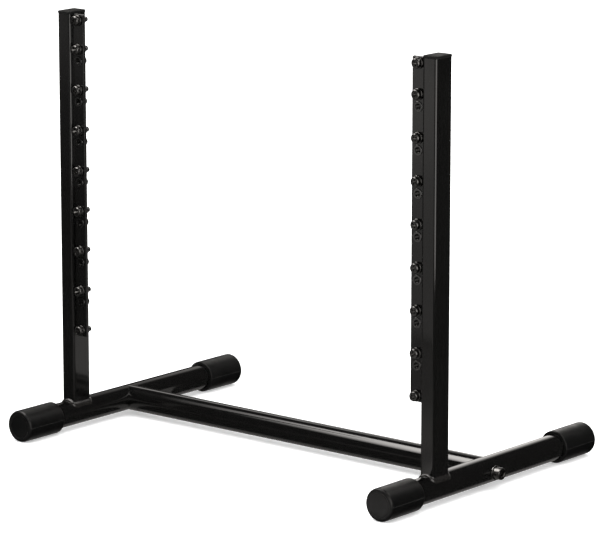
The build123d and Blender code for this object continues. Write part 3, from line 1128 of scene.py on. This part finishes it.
def card(name, corner, first_edge, second_edge, material):
    """A flat studio card that only the gloss surfaces see, drawn at its place in the row frame."""
    corner, first_edge, second_edge = Vector(corner), Vector(first_edge), Vector(second_edge)
    mesh = bpy.data.meshes.new(name)
    points = [corner, corner + first_edge, corner + first_edge + second_edge, corner + second_edge]
    mesh.from_pydata(points, [], [(0, 1, 2, 3)])
    mesh.materials.append(material)
    made = new_object(name, mesh)
    for ray in ("camera", "diffuse", "transmission", "shadow"):
        setattr(made, f"visible_{ray}", False)
    return made


SOFTBOX_Z = 1.14
HORIZON_DISTANCE = 3.2
HORIZON_WIDTH = 2.2
HORIZON_HEIGHT = 1.6
UNDER_TUBE_WIDTH = 0.0175


def build_studio():
    """Pale floor and soft lights. The cards that the gloss black mirrors aren't seen by the camera."""
    floor_paint = bpy.data.materials.new("floor_paint")
    floor_paint.use_nodes = True
    paint = floor_paint.node_tree.nodes["Principled BSDF"].inputs
    paint["Base Color"].default_value = (0.9, 0.9, 0.9, 1)
    paint["Roughness"].default_value = 0.9
    paint["Emission Color"].default_value = (1, 1, 1, 1)
    paint["Emission Strength"].default_value = 0.35         # keeps the shadows faint
    floor = card("floor", (-30, -30, 0), (60, 0, 0), (0, 60, 0), floor_paint)
    floor.visible_camera = True
    floor.visible_diffuse = True
    floor.visible_shadow = True
    floor.visible_glossy = False

    # The floor as the gloss surfaces see it: dim, with pale boards on it in front and behind
    dim = glowing("dim_floor", 0.03, [])
    card("floor_card", (-8, -8, -0.004), (16, 0, 0), (0, 16, 0), dim)
    front = glowing("front_board", 0.45, [((-1.60, -2.60, 0), (1.50, 2.50, 1), 0.47)])
    card("front_board", (-0.45, -0.70, -0.003), (0.55, 0, 0), (-1.60, -2.00, 0), front)
    left = glowing("left_board", 0.06, [((-2.40, -2.40, 0), (1.00, 1.20, 1), 0.25)])
    card("left_board", (-3.60, -3.60, -0.0035), (3.20, 0, 0), (0, 2.40, 0), left)
    near = glowing("near_board", 0.26, [
        ((0.08, -0.34, 0), (0.25, 0.20, 1), 0.22),
        ((0.21, -0.235, 0), (0.09, 0.08, 1), 1.2),
    ])
    card("near_board", (-0.28, -0.68, -0.003), (0.62, 0, 0), (0, 0.49, 0), near)
    back = glowing("back_board", 0.05, [((0.10, 0.20, 0), (2.00, 2.20, 1), 0.55)])
    card("back_board", (-0.25, 0.05, -0.003), (0.30, 0, 0), (1.90, 2.00, 0), back)
    side = glowing("side_board", 0.45, [])
    card("side_board", (-0.60, -0.18, -0.003), (0.32, 0, 0), (0, 0.80, 0), side)
    under = glowing("under_tubes", 0.30, [])
    for side_name, tube_side in SIDES.items():
        corner = (tube_side * 0.2495 - 0.004, -0.177, -0.002)
        card(f"under_{side_name}_foot", corner, (UNDER_TUBE_WIDTH, 0, 0), (0, 0.354, 0), under)
    card("under_crossbar", (-0.235, -0.0135, -0.002), (0.470, 0, 0), (0, UNDER_TUBE_WIDTH, 0), under)

    backdrop = glowing("backdrop", 0.03, [
        ((-1.25, 2.5, 0.80), (1.20, 1, 1.80), 2.6),
        ((-2.80, 2.5, 2.20), (1.00, 1, 1.30), 1.6),
        ((0.30, 2.5, 0.50), (0.90, 1, 0.90), 0.7),
    ])
    card("backdrop_card", (-5, 2.5, 0), (10, 0, 0), (0, 0, 5), backdrop)
    softbox = glowing("softbox", 0.0, [((-0.45, -0.47, SOFTBOX_Z), (0.75, 1.6, 1), 13.0)])
    card("softbox_card", (-1.15, -1.05, SOFTBOX_Z), (0.85, 0, 0), (0, 1.15, 0), softbox)
    behind = glowing("softbox_behind", 0.0, [((0.60, 0.45, SOFTBOX_Z), (0.75, 0.9, 1), 4.0)])
    card("softbox_behind_card", (0.30, -0.10, SOFTBOX_Z), (0.85, 0, 0), (0, 1.10, 0), behind)
    horizon = glowing("horizon", 0.30, [])
    half, up = HORIZON_WIDTH / 2, (0, 0, HORIZON_HEIGHT)
    card("horizon_front", (-half, -HORIZON_DISTANCE, 0), (HORIZON_WIDTH, 0, 0), up, horizon)
    card("horizon_right", (HORIZON_DISTANCE, -half, 0), (0, HORIZON_WIDTH, 0), up, horizon)
    card("horizon_left", (-HORIZON_DISTANCE, -half, 0), (0, HORIZON_WIDTH, 0), up, horizon)
    fill = glowing("fill", 3.0, [])
    card("fill_card", (0.55, -1.35, 0.0), (0.90, 0.95, 0), (0, 0, 0.9), fill)

    overhead = bpy.data.lights.new("overhead", "AREA")
    overhead.shape = "RECTANGLE"
    overhead.size, overhead.size_y = 5.0, 5.0
    overhead.energy = 160.0
    lamp = new_object("overhead", overhead)
    lamp.location = (0, 0, 4.0)
    lamp.visible_glossy = False
    lamp.visible_camera = False

    world = bpy.data.worlds.new("studio")
    bpy.context.scene.world = world
    world.use_nodes = True
    tree = world.node_tree
    shade = tree.nodes["Background"]
    shade.inputs["Strength"].default_value = 1.4
    seen = add_node(tree, "ShaderNodeLightPath").outputs["Is Glossy Ray"]
    blend = add_node(tree, "ShaderNodeMix", {"Factor": seen}, data_type="RGBA")
    blend.inputs[6].default_value = (1, 1, 1, 1)
    blend.inputs[7].default_value = (0.02, 0.02, 0.02, 1)
    tree.links.new(blend.outputs[2], shade.inputs["Color"])


def build_camera():
    sin_a, cos_a = math.sin(CAMERA_AZIMUTH), math.cos(CAMERA_AZIMUTH)
    sin_e, cos_e = math.sin(CAMERA_ELEVATION), math.cos(CAMERA_ELEVATION)
    back = Vector((sin_a * cos_e, -cos_a * cos_e, sin_e))
    lens = bpy.data.cameras.new("camera")
    lens.lens = CAMERA_LENS
    lens.sensor_width = 36.0
    lens.clip_start, lens.clip_end = 0.1, 100.0
    camera = new_object("camera", lens)
    camera.rotation_mode = "QUATERNION"
    camera.location = CAMERA_TARGET + back * CAMERA_DISTANCE
    camera.rotation_quaternion = (-back).to_track_quat("-Z", "Y")
    bpy.context.scene.camera = camera


build_studio()
build_camera()
bpy.context.scene.view_settings.view_transform = "Standard"
